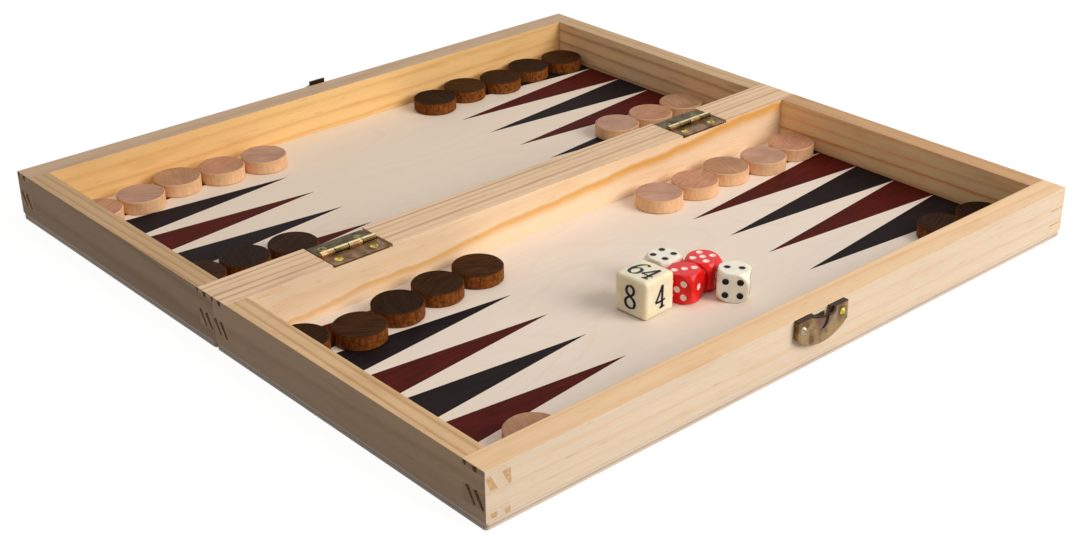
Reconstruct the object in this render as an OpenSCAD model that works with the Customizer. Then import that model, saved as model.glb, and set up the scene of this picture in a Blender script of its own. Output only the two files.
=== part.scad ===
// Folding wooden game case, open and flat, with draughtsmen, dice and a doubling cube.
// Millimetres. X runs along the fold, Y from the front tray to the back tray, Z up.
// The origin is on the ground, under the middle of the fold.

/* [Case] */
// Width of the case along its fold
case_w = 300; // [280:1:380]
// Depth of one tray, from the fold line to its outer face
tray_d = 150; // [142:1:190]
// Height of one tray with its panel
tray_h = 21; // [21:0.5:40]
// Thickness of the left and right walls
side_t = 9; // [7:0.5:13]
// Thickness of the front and back walls
end_t = 10.5; // [9:0.5:14]
// Thickness of the walls along the fold
fold_t = 9.4; // [9:0.2:13]
// Thickness of the board panels
panel_t = 2.5; // [2:0.25:4]
// Radius of the panels' corners
panel_r = 1.5; // [0.5:0.25:4]
// Gap between the two fold walls when the case is open
seam_gap = 0.3; // [0.2:0.1:0.8]
// Gap between the two rims when the case is closed
rim_gap = 0.4; // [0.3:0.1:0.8]

/* [Finger joints] */
// Height of one finger
finger_h = 6.3; // [4:0.1:9]
// Height of the cut finger under the rim
top_finger_h = 2; // [1:0.1:4]

/* [Hinges] */
// Distance between the middles of the two hinges
hinge_span = 182; // [120:1:220]
// Length of a hinge along the fold
hinge_w = 25; // [20:1:32]
// Thickness of a leaf
leaf_t = 0.8; // [0.6:0.1:1.1]
// Depth of a leaf's upper face below the rim
leaf_sink = 0.5; // [0.4:0.1:0.8]
// Distance of a leaf's end from the inner face of its wall
leaf_inset = 0.3; // [0.1:0.1:1]
// Outer radius of the knuckles
knuckle_r = 1.25; // [1.2:0.05:1.5]
// Number of knuckles on one hinge
knuckle_n = 4; // [3:1:7]
// Gap between neighbouring knuckles
knuckle_gap = 0.3; // [0.2:0.05:0.5]
// Clearance of wood and leaves round the knuckles
knuckle_room = 0.35; // [0.3:0.05:0.6]
// Radius of the hinge pin
pin_r = 0.7; // [0.5:0.05:0.8]
// Radial clearance between pin and knuckles
pin_clear = 0.05; // [0.02:0.01:0.08]
// Length of pin beyond each end of the hinge
pin_end = 0.3; // [0.1:0.1:0.5]
// Clearance at each end of a hinge in its mortise
mortise_room = 1; // [0.6:0.1:2]

/* [Screws] */
// Distance between the two screws of one leaf
leaf_screw_span = 16; // [10:0.5:17]
// Distance of the leaf screws from the fold line
leaf_screw_y = 5.4; // [5:0.1:6]
// Radius of a screw's shank
screw_r = 0.9; // [0.7:0.05:1.1]
// Radius of a screw's head
screw_head_r = 1.75; // [1.5:0.05:2]
// Length of a screw in the wood
screw_len = 7; // [5:0.5:8]
// Height of a hinge screw's domed head over its leaf
leaf_head_h = 0.35; // [0.2:0.05:0.4]
// Height of a catch screw's domed head over its plate
catch_head_h = 1.1; // [0.6:0.1:1.6]
// Width of the slot in a head
slot_w = 0.45; // [0.3:0.05:0.6]
// Clearance round a screw
screw_clear = 0.05; // [0.02:0.01:0.1]

/* [Catch] */
// Radius of the plates' round lower edge
plate_r = 19; // [17:0.5:24]
// Width of the plates
plate_w = 26; // [25:0.2:29]
// Height of the plates
plate_h = 12.1; // [11:0.1:13.5]
// Distance of the catch plate's straight edge below the rim
plate_drop = 0.3; // [0.3:0.1:1]
// Distance of the strike plate's straight edge below the catch plate's
strike_drop = 1.3; // [0:0.1:2]
// Depth of the stamped pan
plate_t = 2.2; // [2:0.1:3]
// Thickness of the sheet that the plates are stamped from
sheet_t = 0.7; // [0.5:0.1:0.8]
// Radius of the half dome pressed out of a plate
dome_r = 6.5; // [6:0.1:7.5]
// Height of the dome over the plate
dome_h = 3; // [1.8:0.1:3.4]
// Distance of the dome's centre below the plate's straight edge
dome_drop = 0.5; // [0:0.1:1.5]
// Width of the slot in the catch plate's dome
dome_slot_w = 1.6; // [1:0.1:2.5]
// Height of that slot
dome_slot_h = 6; // [3:0.5:6.5]
// Distance of that slot's middle from the dome's middle
dome_slot_x = 1.5; // [0:0.1:2]
// Width of the tongue
tongue_w = 8; // [5:0.5:8]
// Thickness of the tongue
tongue_t = 0.8; // [0.5:0.1:0.9]
// Distance of the tongue from the wall's outer face
tongue_off = 0.9; // [0.8:0.05:1]
// Height of the tongue over its rim
tongue_rise = 1.5; // [1.2:0.1:4]
// Clearance round the tongue in its pocket
tongue_room = 0.5; // [0.3:0.1:0.6]
// Depth of the tongue's pocket below the rim
pocket_h = 8; // [7:0.5:9]
// Distance between the two screws of a plate
plate_screw_span = 20.8; // [19.6:0.2:21.4]
// Distance of the plate screws below the rim
plate_screw_drop = 4.2; // [3.8:0.1:5]
// Width of the spring strip
spring_w = 5; // [3:0.5:7]
// Thickness of the spring strip
spring_t = 0.25; // [0.15:0.05:0.4]
// Gap between the spring strip's upper end and the catch plate
spring_room = 0.5; // [0.3:0.1:1]

/* [Draughtsmen] */
// Diameter of a draughtsman
man_d = 20; // [16:0.5:21]
// Thickness of a draughtsman
man_h = 5.8; // [4:0.2:8]
// Bevel round a draughtsman's edges
man_bevel = 0.4; // [0.2:0.1:1]
// Gap between neighbouring men and between a man and a wall
man_gap = 0.35; // [0.3:0.05:0.5]
// Plain strip of the board between the outer points and the walls along the fold and the ends
point_margin = 3.2; // [0:0.1:6]

/* [Dice] */
// Edge of a die
die_s = 12; // [10:0.5:14]
// Radius of the sphere that rounds a die's corners, as a share of its edge
die_round = 0.7; // [0.66:0.01:0.8]
// Radius of a pip
pip_r = 1.3; // [0.6:0.05:1.35]
// Depth of a pip
pip_depth = 0.35; // [0.2:0.05:0.5]
// Distance of the outer pips from a face's middle
pip_off = 2.75; // [2.2:0.05:3]
// Edge of the doubling cube
cube_s = 15.5; // [12:0.5:17]
// Radius of the doubling cube's edges
cube_r = 1.5; // [0.5:0.25:3]
// Gap between neighbouring dice
die_gap = 0.4; // [0.3:0.1:1]
// Gap between the doubling cube and the nearest die
cube_gap = 1.8; // [0.4:0.1:4]
// Place of the first red die, from the middle of the front tray's fold wall
die_x = -2.9; // [-8:0.1:8]
// Distance of the first red die from the fold line
die_y = 88.7; // [80:0.1:92]
// Turn of the pair of red dice
die_turn = 17.5; // [0:0.5:30]
// Step between the two red dice, as a share of their edge
die_step = 0.117; // [0:0.001:0.3]
// Distance of the ivory die behind the red pair from the first red die along the pair, in edges
back_die_shift = 0.575; // [0.5:0.005:0.65]
// Turn of the ivory die behind the red pair, against them
back_die_turn = 9; // [0:0.5:45]
// Distance of the ivory die in front from the second red die along the pair, in edges
front_die_shift = 0.19; // [0:0.01:0.4]
// Turn of the ivory die in front of the red pair, against them
front_die_turn = 20.7; // [0:0.1:45]
// Distance of the doubling cube from the first red die across the pair, in edges of a die
cube_shift = 0.725; // [0.5:0.005:0.9]
// Turn of the doubling cube against the red pair
cube_turn = 14; // [0:0.5:45]

/* [Hidden] */
// Small overlap that joins two solids of one piece, or clears a cut's face
EPS = 0.01;
// A leaf runs under its knuckles to this share of their radius
STRAP_END = 0.6;
// A slot's floor is at this share of its head's height
SLOT_FLOOR = 0.35;
// Turns of the screws' slots: from end to end of a leaf, from hinge to hinge, and on the plates
LEAF_SLOT_TURN = 35;
HINGE_SLOT_TURN = 20;
PLATE_SLOT_TURN = 50;
pin_z = tray_h + rim_gap / 2;
fold_face = seam_gap / 2;
fold_in = fold_face + fold_t;
end_in = tray_d - end_t;
side_in = case_w / 2 - side_t;
leaf_top = tray_h - leaf_sink;
leaf_low = leaf_top - leaf_t;
knuckle_clear_r = knuckle_r + knuckle_room;
mortise_w = hinge_w + 2 * mortise_room;
plate_top = tray_h - plate_drop;
plate_face = tray_d + plate_t;
dome_z = plate_top - dome_drop;
tray_mid = (fold_in + end_in) / 2;

// Six printed points fill each side of a tray. The men stand on their centre lines, which are
// given as distances from the fold line.
point_pitch = (end_in - fold_in - 2 * point_margin) / 6;
point_by_fold = tray_mid - 2.5 * point_pitch;
point_second = tray_mid - 1.5 * point_pitch;
point_by_end = tray_mid + 2.5 * point_pitch;

// Each row of men: tray (-1 front, 1 back), side (-1 left, 1 right), centre line, free places
// between the side wall and the first man, and each man's own distance from that line towards the
// tray's outer wall, from the side wall inwards. The last light man lies apart, behind the fold.
DARK_ROWS = [
    [-1, -1, point_by_fold, 0, [3, 9.5, 5, 2.7, 1.6]],
    [-1, 1, point_by_end, 0, [-0.5, -4.2]],
    [1, -1, point_second, 0, [-2, -1.3, -4.2]],
    [1, 1, point_by_end, 0, [0.8, 2.8, 0.1, 2.7, 0]]
];
LIGHT_ROWS = [
    [-1, 1, point_by_fold, 0, [2, 3.9, 0.6, 1.7, 0.8]],
    [-1, -1, point_by_end, 1, [0]],
    [1, -1, point_by_end, 0, [-5.5, -4, 1, -1.4, -3.4]],
    [1, 1, point_second, 0, [-0.7, -1, 0.1]],
    [1, 1, point_by_fold, 0, [-3]]
];

// A man may lean towards a wall, and no further than its gap to that wall
nearest_y = fold_in + man_gap + man_d / 2;
furthest_y = end_in - man_gap - man_d / 2;
function man_place(row, i) = [
    row[1] * (side_in - man_gap - man_d / 2 - (row[3] + i) * (man_d + man_gap)),
    row[0] * min(furthest_y, max(nearest_y, row[2] + row[4][i]))
];
function men(rows) = [for (row = rows) for (i = [0:len(row[4]) - 1]) man_place(row, i)];
DARK_MEN = men(DARK_ROWS);
LIGHT_MEN = men(LIGHT_ROWS);

// Places of the dice. Seen along the red pair (x) and across it (y), one edge or face of each
// neighbour lies clear of the nearest corner of a red die by the gap.
function turned(v, a) = [v[0] * cos(a) - v[1] * sin(a), v[0] * sin(a) + v[1] * cos(a)];
function corner_reach(s, a) = s / 2 * (cos(a) + sin(a));
step_y = die_s * die_step;
back_x = back_die_shift * die_s;
back_reach = corner_reach(die_s, back_die_turn) + die_s / 2 + die_gap;
back_y = max(
    (back_reach - back_x * sin(back_die_turn)) / cos(back_die_turn),
    back_reach - step_y);
front_y = die_s / 2 + corner_reach(die_s, front_die_turn) + die_gap;
cube_y = cube_shift * die_s;
cube_reach = corner_reach(die_s, cube_turn) + cube_s / 2 + cube_gap;
cube_x = (cube_reach - cube_y * sin(cube_turn)) / cos(cube_turn);
RED_1 = [die_x, -die_y];
RED_2 = RED_1 + turned([die_s + die_gap, -step_y], die_turn);
IVORY_1 = RED_1 + turned([back_x, back_y], die_turn);
IVORY_2 = RED_2 + turned([-front_die_shift * die_s, -front_y], die_turn);
CUBE_AT = RED_1 + turned([-cube_x, cube_y], die_turn);

// Pips of each face, as steps of pip_off
PIPS = [
    [],
    [[0, 0]],
    [[-1, 0], [1, 0]],
    [[-1, 1], [0, 0], [1, -1]],
    [[-1, -1], [-1, 1], [1, -1], [1, 1]],
    [[-1, -1], [-1, 1], [0, 0], [1, -1], [1, 1]],
    [[-1, -1], [-1, 0], [-1, 1], [1, -1], [1, 0], [1, 1]]
];

function two_digits(i) = str(i < 10 ? "0" : "", i);
function dark_name(i) = str("dark_man_", two_digits(i + 1));
function light_name(i) = str("light_man_", two_digits(i + 1));

// Every piece is drawn on the front tray; the back tray's pieces are mirrored over the fold
module on_back_tray() { mirror([0, 1, 0]) children(); }

// Fingers of one corner, as blocks that fill every second height below the rim.
// Of the end walls and fold walls these are the highest block and every second one under it.
module finger_blocks(first, x0, x1, y0, y1) {
    tops = concat([tray_h], [for (z = [tray_h - top_finger_h : -finger_h : panel_t + EPS]) z]);
    for (i = [first : 2 : len(tops) - 1]) {
        low = i + 1 < len(tops) ? tops[i + 1] : panel_t;
        translate([x0, y0, low]) cube([x1 - x0, y1 - y0, tops[i] - low]);
    }
}

// Both ends of a wall across the tray, from y0 to y1
module cross_wall(y0, y1) {
    translate([-side_in, y0, panel_t]) cube([2 * side_in, y1 - y0, tray_h - panel_t]);
    for (side = [0, 1]) mirror([side, 0, 0]) finger_blocks(0, side_in, case_w / 2, y0, y1);
}

// A left or right wall of the front tray; side is -1 or 1
module side_wall(side) {
    mirror([side < 0 ? 1 : 0, 0, 0]) {
        translate([side_in, -end_in, panel_t]) cube([side_t, end_in - fold_in, tray_h - panel_t]);
        finger_blocks(1, side_in, case_w / 2, -tray_d, -end_in);
        finger_blocks(1, side_in, case_w / 2, -fold_in, -fold_face);
    }
}

module screw_hole(x, y) {
    translate([x, y, leaf_low - screw_len - 1])
        cylinder(h = screw_len + 2, r = screw_r + screw_clear, $fn = 24);
}

// The fold wall of the front tray with its two mortises, barrel grooves and screw holes
module fold_wall() {
    difference() {
        cross_wall(-fold_in, -fold_face);
        for (side = [-1, 1]) translate([side * hinge_span / 2, 0, 0]) {
            translate([-mortise_w / 2, -fold_in - 1, leaf_low]) cube([mortise_w, fold_in + 2, tray_h]);
            translate([-mortise_w / 2, -knuckle_clear_r, pin_z - knuckle_clear_r])
                cube([mortise_w, 2 * knuckle_clear_r, tray_h]);
            for (end = [-1, 1]) screw_hole(end * leaf_screw_span / 2, -leaf_screw_y);
        }
    }
}

// An outer wall across the front tray, with the holes for a plate's two screws, lowered by drop
module outer_wall(drop) {
    difference() {
        cross_wall(-tray_d, -end_in);
        for (end = [-1, 1])
            translate([end * plate_screw_span / 2, -tray_d - 1, tray_h - plate_screw_drop - drop])
                rotate([-90, 0, 0]) cylinder(h = screw_len + 1.5, r = screw_r + screw_clear, $fn = 24);
    }
}

module panel() {
    w = case_w / 2;
    r = panel_r;
    translate([-w + r, -tray_d, 0]) cube([2 * (w - r), tray_d - fold_face, panel_t]);
    translate([-w, -tray_d + r, 0]) cube([2 * w, tray_d - fold_face - 2 * r, panel_t]);
    for (x = [-w + r, w - r]) for (y = [-tray_d + r, -fold_face - r])
        translate([x, y, 0]) cylinder(h = panel_t, r = r, $fn = 32);
}

// Knuckle k starts at knuckle_x along the hinge and is knuckle_len long
knuckle_pitch = hinge_w / knuckle_n;
function knuckle_x(k) = -hinge_w / 2 + k * knuckle_pitch + (k > 0 ? knuckle_gap / 2 : 0);
function knuckle_len(k) =
    knuckle_pitch - (k > 0 ? knuckle_gap / 2 : 0) - (k < knuckle_n - 1 ? knuckle_gap / 2 : 0);

// One leaf lying on the front tray, with every second knuckle counted from first
module leaf(first) {
    end_y = -(fold_in - leaf_inset);
    difference() {
        union() {
            translate([-hinge_w / 2, end_y, leaf_low]) cube([hinge_w, -knuckle_clear_r - end_y, leaf_t]);
            for (k = [first : 2 : knuckle_n - 1]) translate([knuckle_x(k), 0, 0]) {
                translate([0, -knuckle_clear_r - EPS, leaf_low])
                    cube([knuckle_len(k), knuckle_clear_r + EPS - knuckle_r * STRAP_END, leaf_t]);
                translate([0, 0, pin_z]) rotate([0, 90, 0])
                    cylinder(h = knuckle_len(k), r = knuckle_r, $fn = 40);
            }
        }
        translate([-hinge_w, 0, pin_z]) rotate([0, 90, 0])
            cylinder(h = 2 * hinge_w, r = pin_r + pin_clear, $fn = 32);
        for (end = [-1, 1]) translate([end * leaf_screw_span / 2, -leaf_screw_y, leaf_low - EPS])
            cylinder(
                h = leaf_t + 2 * EPS,
                r1 = screw_r + screw_clear,
                r2 = screw_head_r + screw_clear,
                $fn = 32
            );
    }
}

module hinge_pin() {
    translate([-hinge_w / 2 - pin_end, 0, pin_z]) rotate([0, 90, 0])
        cylinder(h = hinge_w + 2 * pin_end, r = pin_r, $fn = 32);
}

// A cap of a ball that rises h over the plane z = 0, with the radius r on that plane
module cap(r, h) {
    ball = (r * r + h * h) / (2 * h);
    intersection() {
        translate([0, 0, h - ball]) sphere(r = ball, $fn = 48);
        translate([-r, -r, 0]) cube([2 * r, 2 * r, h + 1]);
    }
}

// A slotted wood screw along -Z; the plane z = 0 is under its domed head
module screw(head_h, sunk) {
    tip = 2 * screw_r;
    difference() {
        union() {
            cap(screw_head_r, head_h);
            if (sunk > 0)
                translate([0, 0, -sunk]) cylinder(h = sunk + EPS, r1 = screw_r, r2 = screw_head_r, $fn = 32);
            translate([0, 0, -(screw_len - tip)]) cylinder(h = screw_len - tip + EPS, r = screw_r, $fn = 24);
            translate([0, 0, -screw_len]) cylinder(h = tip, r1 = 0.1, r2 = screw_r, $fn = 24);
        }
        translate([-screw_head_r - 1, -slot_w / 2, head_h * SLOT_FLOOR])
            cube([2 * screw_head_r + 2, slot_w, head_h]);
    }
}

module leaf_screws() {
    for (side = [-1, 1]) for (end = [-1, 1])
        translate([side * hinge_span / 2 + end * leaf_screw_span / 2, -leaf_screw_y, leaf_top])
            rotate([0, 0, LEAF_SLOT_TURN * end + HINGE_SLOT_TURN * side]) screw(leaf_head_h, leaf_t);
}

module plate_screws() {
    for (end = [-1, 1])
        translate([end * plate_screw_span / 2, -plate_face, tray_h - plate_screw_drop])
            rotate([90, 0, 0]) rotate([0, 0, PLATE_SLOT_TURN * end]) screw(catch_head_h, 0);
}

// A plate's outline, straight above and round below, as a block from y0 to y1.
// It is drawn in from its edge by inset on all sides.
module plate_block(inset, y0, y1) {
    w = plate_w - 2 * inset;
    intersection() {
        translate([0, y0, plate_top - plate_h + plate_r])
            rotate([-90, 0, 0]) cylinder(h = y1 - y0, r = plate_r - inset, $fn = 96);
        translate([-w / 2, y0, plate_top - plate_h]) cube([w, y1 - y0, plate_h - inset]);
    }
}

// The lower half of a dome with the radius r on the plane y = -face, cut off at the height top
module half_dome(r, h, face, top) {
    intersection() {
        translate([0, -face, dome_z]) rotate([90, 0, 0]) cap(r, h);
        translate([-r - 1, -face - h - 1, dome_z - r - 1]) cube([2 * r + 2, h + 2, top - dome_z + r + 1]);
    }
}

// A stamped pan on the front wall, open towards the wall, with its half dome and screw holes
module stamped_plate() {
    difference() {
        union() {
            plate_block(0, -plate_face, -tray_d);
            half_dome(dome_r, dome_h, plate_face, plate_top);
        }
        plate_block(sheet_t, -plate_face + sheet_t, -tray_d + 1);
        for (end = [-1, 1])
            translate([end * plate_screw_span / 2, -plate_face - 1, tray_h - plate_screw_drop])
                rotate([-90, 0, 0]) cylinder(h = plate_t + 1, r = screw_r + screw_clear, $fn = 24);
    }
}

// The dome of the catch plate is hollow, open above where the tongue goes in, and slotted so that it
// gives way to the tongue
module catch_plate() {
    w = tongue_w + 2 * tongue_room;
    color("#8a7648") difference() {
        stamped_plate();
        half_dome(dome_r - sheet_t / 2, dome_h, plate_face - sheet_t, plate_top + 1);
        translate([-dome_slot_x - dome_slot_w / 2, -plate_face - dome_h - 1, plate_top - dome_slot_h])
            cube([dome_slot_w, dome_h + sheet_t + 1, dome_slot_h + 1]);
        translate([-w / 2, -plate_face + sheet_t - EPS, dome_z - sheet_t])
            cube([w, plate_t, dome_drop + sheet_t + 1]);
    }
}

// The strike plate has the same pan, and the tongue stands up out of it
module strike_plate() {
    color("#8a7648") on_back_tray() {
        translate([0, 0, -strike_drop]) stamped_plate();
        translate([-tongue_w / 2, -tray_d - tongue_off - tongue_t, tray_h - pocket_h])
            cube([tongue_w, tongue_t, pocket_h + tongue_rise]);
    }
}

// A flat spring strip on the wall behind the tongue's pocket, with a raised foot at its lower end
module catch_spring() {
    top = plate_top - sheet_t - spring_room;
    low = tray_h - pocket_h;
    color("#b9b9b4") {
        translate([-spring_w / 2, -tray_d - spring_t, low]) cube([spring_w, spring_t, top - low]);
        translate([-spring_w / 2, -tray_d - tongue_off, low]) cube([spring_w, tongue_off, spring_t]);
    }
}

module front_wall() { color("#e9cda0") outer_wall(0); }
module front_left_wall() { color("#dcb888") side_wall(-1); }
module front_right_wall() { color("#dcb888") side_wall(1); }
module front_fold_wall() { color("#e4c496") fold_wall(); }
module front_panel() { color("#e8dfd0") panel(); }
module back_wall() { color("#e9cda0") on_back_tray() outer_wall(strike_drop); }
module back_left_wall() { color("#dcb888") on_back_tray() side_wall(-1); }
module back_right_wall() { color("#dcb888") on_back_tray() side_wall(1); }
module back_fold_wall() { color("#e4c496") on_back_tray() fold_wall(); }
module back_panel() { color("#e8dfd0") on_back_tray() panel(); }

// Hinge pieces of one hinge; side is -1 left or 1 right
module hinge_front_leaf(side) { color("#7d7350") translate([side * hinge_span / 2, 0, 0]) leaf(0); }
module hinge_back_leaf(side) {
    color("#7d7350") translate([side * hinge_span / 2, 0, 0]) on_back_tray() leaf(1);
}
module hinge_pin_at(side) { color("#b09a5a") translate([side * hinge_span / 2, 0, 0]) hinge_pin(); }
module hinge_front_screws() { color("#c9ae58") leaf_screws(); }
module hinge_back_screws() { color("#c9ae58") on_back_tray() leaf_screws(); }
module catch_screws() { color("#c9ae58") plate_screws(); }
module strike_screws() { color("#c9ae58") on_back_tray() translate([0, 0, -strike_drop]) plate_screws(); }

// A turned wooden disc with bevelled edges
module man(place) {
    r = man_d / 2;
    b = man_bevel;
    translate([place[0], place[1], panel_t]) rotate_extrude($fn = 72)
        polygon([[0, 0], [r - b, 0], [r, b], [r, man_h - b], [r - b, man_h], [0, man_h]]);
}

// Pips of one face, pressed into the plane z = die_s / 2
module pip_face(count) {
    ball = (pip_r * pip_r + pip_depth * pip_depth) / (2 * pip_depth);
    for (p = PIPS[count])
        translate([p[0] * pip_off, p[1] * pip_off, die_s / 2 + ball - pip_depth]) sphere(r = ball, $fn = 32);
}

// A die with the given counts on top, front (-Y), right (+X); opposite faces add up to seven
module die(place, angle, top, front, right) {
    translate([place[0], place[1], panel_t + die_s / 2]) rotate([0, 0, angle]) difference() {
        intersection() {
            cube(die_s, center = true);
            sphere(r = die_round * die_s, $fn = 96);
        }
        pip_face(top);
        rotate([180, 0, 0]) pip_face(7 - top);
        rotate([90, 0, 0]) pip_face(front);
        rotate([-90, 0, 0]) pip_face(7 - front);
        rotate([0, 90, 0]) pip_face(right);
        rotate([0, -90, 0]) pip_face(7 - right);
    }
}

module ivory_die_1() { color("#e9e4d2") die(IVORY_1, die_turn - back_die_turn, 4, 2, 1); }
module ivory_die_2() { color("#e9e4d2") die(IVORY_2, die_turn + front_die_turn - 90, 2, 4, 6); }
module red_die_1() { color("#c4201f") die(RED_1, die_turn, 3, 1, 2); }
module red_die_2() { color("#c4201f") die(RED_2, die_turn, 5, 1, 4); }

// A cube round the origin with rounded edges and corners
module rounded_cube(s, r) {
    reach = s / 2 - r;
    for (turn = [[0, 0, 0], [0, 90, 0], [90, 0, 0]]) rotate(turn) {
        cube([2 * reach, 2 * reach, s], center = true);
        for (x = [-reach, reach]) for (y = [-reach, reach])
            translate([x, y, -reach]) cylinder(h = 2 * reach, r = r, $fn = 32);
    }
    for (x = [-reach, reach]) for (y = [-reach, reach]) for (z = [-reach, reach])
        translate([x, y, z]) sphere(r = r, $fn = 32);
}

module doubling_cube() {
    color("#ebe2c4") translate([CUBE_AT[0], CUBE_AT[1], panel_t + cube_s / 2])
        rotate([0, 0, die_turn - cube_turn]) rounded_cube(cube_s, cube_r);
}

front_wall();
front_left_wall();
front_right_wall();
front_fold_wall();
front_panel();
back_wall();
back_left_wall();
back_right_wall();
back_fold_wall();
back_panel();
hinge_front_leaf(-1);  // left_hinge_front_leaf
hinge_back_leaf(-1);  // left_hinge_back_leaf
hinge_pin_at(-1);  // left_hinge_pin
hinge_front_leaf(1);  // right_hinge_front_leaf
hinge_back_leaf(1);  // right_hinge_back_leaf
hinge_pin_at(1);  // right_hinge_pin
hinge_front_screws();
hinge_back_screws();
catch_plate();
catch_screws();
catch_spring();
strike_plate();
strike_screws();
for (i = [0:len(DARK_MEN) - 1])
    color("#4a2f22") man(DARK_MEN[i]);
for (i = [0:len(LIGHT_MEN) - 1])
    color("#cf9f78") man(LIGHT_MEN[i]);
ivory_die_1();
ivory_die_2();
red_die_1();
red_die_2();
doubling_cube();
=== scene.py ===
# %% [markdown]
# # A folding game case, dressed piece by piece
# The object is a small pine case that opens flat into a backgammon board. Its solids come from
# model.glb at their real size, so this lesson only gives them their looks: wood grain, printed points,
# brass, painted pips and numerals. Lengths are in metres, in the frame of the imported model. Only the
# patterns inside the materials and the spots in the finger joints are given in millimetres.

import math

import bmesh
import bpy
from mathutils import Matrix, Vector


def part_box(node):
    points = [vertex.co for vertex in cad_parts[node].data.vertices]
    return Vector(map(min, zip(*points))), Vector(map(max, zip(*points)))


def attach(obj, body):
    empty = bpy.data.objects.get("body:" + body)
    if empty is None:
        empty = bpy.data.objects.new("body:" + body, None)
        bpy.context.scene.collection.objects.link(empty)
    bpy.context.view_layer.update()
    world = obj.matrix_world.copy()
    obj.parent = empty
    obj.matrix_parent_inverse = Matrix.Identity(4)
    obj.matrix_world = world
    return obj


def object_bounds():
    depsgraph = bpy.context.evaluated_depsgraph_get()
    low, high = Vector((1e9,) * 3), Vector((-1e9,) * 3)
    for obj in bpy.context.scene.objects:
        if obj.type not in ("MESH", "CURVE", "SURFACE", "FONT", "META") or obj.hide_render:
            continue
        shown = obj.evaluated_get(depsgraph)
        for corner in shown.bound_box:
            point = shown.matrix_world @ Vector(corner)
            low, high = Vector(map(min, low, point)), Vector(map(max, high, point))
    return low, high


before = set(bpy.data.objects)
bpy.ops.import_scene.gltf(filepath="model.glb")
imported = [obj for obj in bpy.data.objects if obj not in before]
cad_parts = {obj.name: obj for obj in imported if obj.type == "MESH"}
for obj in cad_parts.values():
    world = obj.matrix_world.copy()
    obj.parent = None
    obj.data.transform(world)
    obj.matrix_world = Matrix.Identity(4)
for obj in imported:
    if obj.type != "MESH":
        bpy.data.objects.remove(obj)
solid_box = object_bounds()
MM = 0.001

# %% [markdown]
# ## Where things are
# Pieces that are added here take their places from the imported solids. So the outline of the trays,
# the inner faces of the walls and the height of the board are read from the solids' boxes once.

# %% Measure the trays
panel_low, panel_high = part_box("front_panel")
half_width = panel_high.x
board_height = panel_high.z
tray_depth = -panel_low.y
fold_gap = -panel_high.y
side_inner = -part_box("front_left_wall")[1].x
end_inner = -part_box("front_wall")[1].y
fold_inner = -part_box("front_fold_wall")[0].y
# The front tray lies at -Y and the back tray at +Y
TRAYS = ((-1, "front"), (1, "back"))
field_size = (round(2 * side_inner / MM), round((end_inner - fold_inner) / MM))
print("playing field of one tray, mm:", field_size)

# %% [markdown]
# ## Camera
# The photograph looks down at the case from its front left corner with a fairly long lens. A camera
# that is given by a target, three angles and a distance is easy to adjust: only the distance and the
# lens change how large the case stands in the picture.

# %% Camera
LENS = 56.08
CAMERA_TURN = math.radians(41.23)
CAMERA_RISE = math.radians(26.85)
CAMERA_ROLL = math.radians(-0.64)
CAMERA_DISTANCE = 0.6529
CAMERA_TARGET = Vector((-0.02433, -0.03217, 0.0))
NEAREST_SEEN = 0.01


def direction(turn, rise):
    """The unit vector at these angles: turn goes from -Y towards -X, and rise up from the ground."""
    flat = math.cos(rise)
    return Vector((-math.sin(turn) * flat, -math.cos(turn) * flat, math.sin(rise)))


def aim(thing, place, target, roll=0.0):
    """Stands a camera or a lamp at a place, looking at the target."""
    look = (target - place).to_track_quat("-Z", "Y").to_matrix().to_4x4()
    thing.matrix_world = Matrix.Translation(place) @ look @ Matrix.Rotation(roll, 4, "Z")
    bpy.context.scene.collection.objects.link(thing)


camera = bpy.data.objects.new("camera", bpy.data.cameras.new("camera"))
camera.data.lens = LENS
camera.data.clip_start = NEAREST_SEEN
camera_place = CAMERA_TARGET + CAMERA_DISTANCE * direction(CAMERA_TURN, CAMERA_RISE)
aim(camera, camera_place, CAMERA_TARGET, CAMERA_ROLL)
bpy.context.scene.camera = camera
bpy.context.scene.view_settings.view_transform = "Standard"
print("camera at", [round(v, 3) for v in camera_place])

# %% [markdown]
# ## Shader arithmetic
# A procedural material is a small calculation on the position of a point. Written as nodes by hand
# it soon becomes hard to read, so one class wraps a node's output: `a * 2 + b` on such outputs adds
# the Math nodes. A second class stands for the whole node tree and adds every other kind of node.

# %% Wires


class Wire:
    """One output of a shader node. Arithmetic on it adds Math nodes to the same tree."""

    def __init__(self, recipe, socket):
        self.recipe = recipe
        self.socket = socket

    def math(self, operation, *values):
        return self.recipe.node("Math", {"operation": operation}, dict(enumerate(values)))

    def __add__(self, other):
        return self.math("ADD", self, other)

    def __radd__(self, other):
        return self.math("ADD", other, self)

    def __sub__(self, other):
        return self.math("SUBTRACT", self, other)

    def __rsub__(self, other):
        return self.math("SUBTRACT", other, self)

    def __mul__(self, other):
        return self.math("MULTIPLY", self, other)

    def __rmul__(self, other):
        return self.math("MULTIPLY", other, self)

    def __truediv__(self, other):
        return self.math("DIVIDE", self, other)

    def __rtruediv__(self, other):
        return self.math("DIVIDE", other, self)

    def __abs__(self):
        return self.math("ABSOLUTE", self)

    def fraction(self):
        return self.math("FRACT", self)

    def whole(self):
        return self.math("FLOOR", self)

    def root(self):
        return self.math("SQRT", self)

    def rising(self, low, high):
        """0 below low, 1 above high, and a smooth step between them."""
        settings = {"interpolation_type": "SMOOTHSTEP"}
        return self.recipe.node("MapRange", settings, {"Value": self, "From Min": low, "From Max": high})

    def also(self, output):
        """Another output of the same node."""
        return Wire(self.recipe, self.socket.node.outputs[output])


print("wires ready")

# %% Recipes


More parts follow.
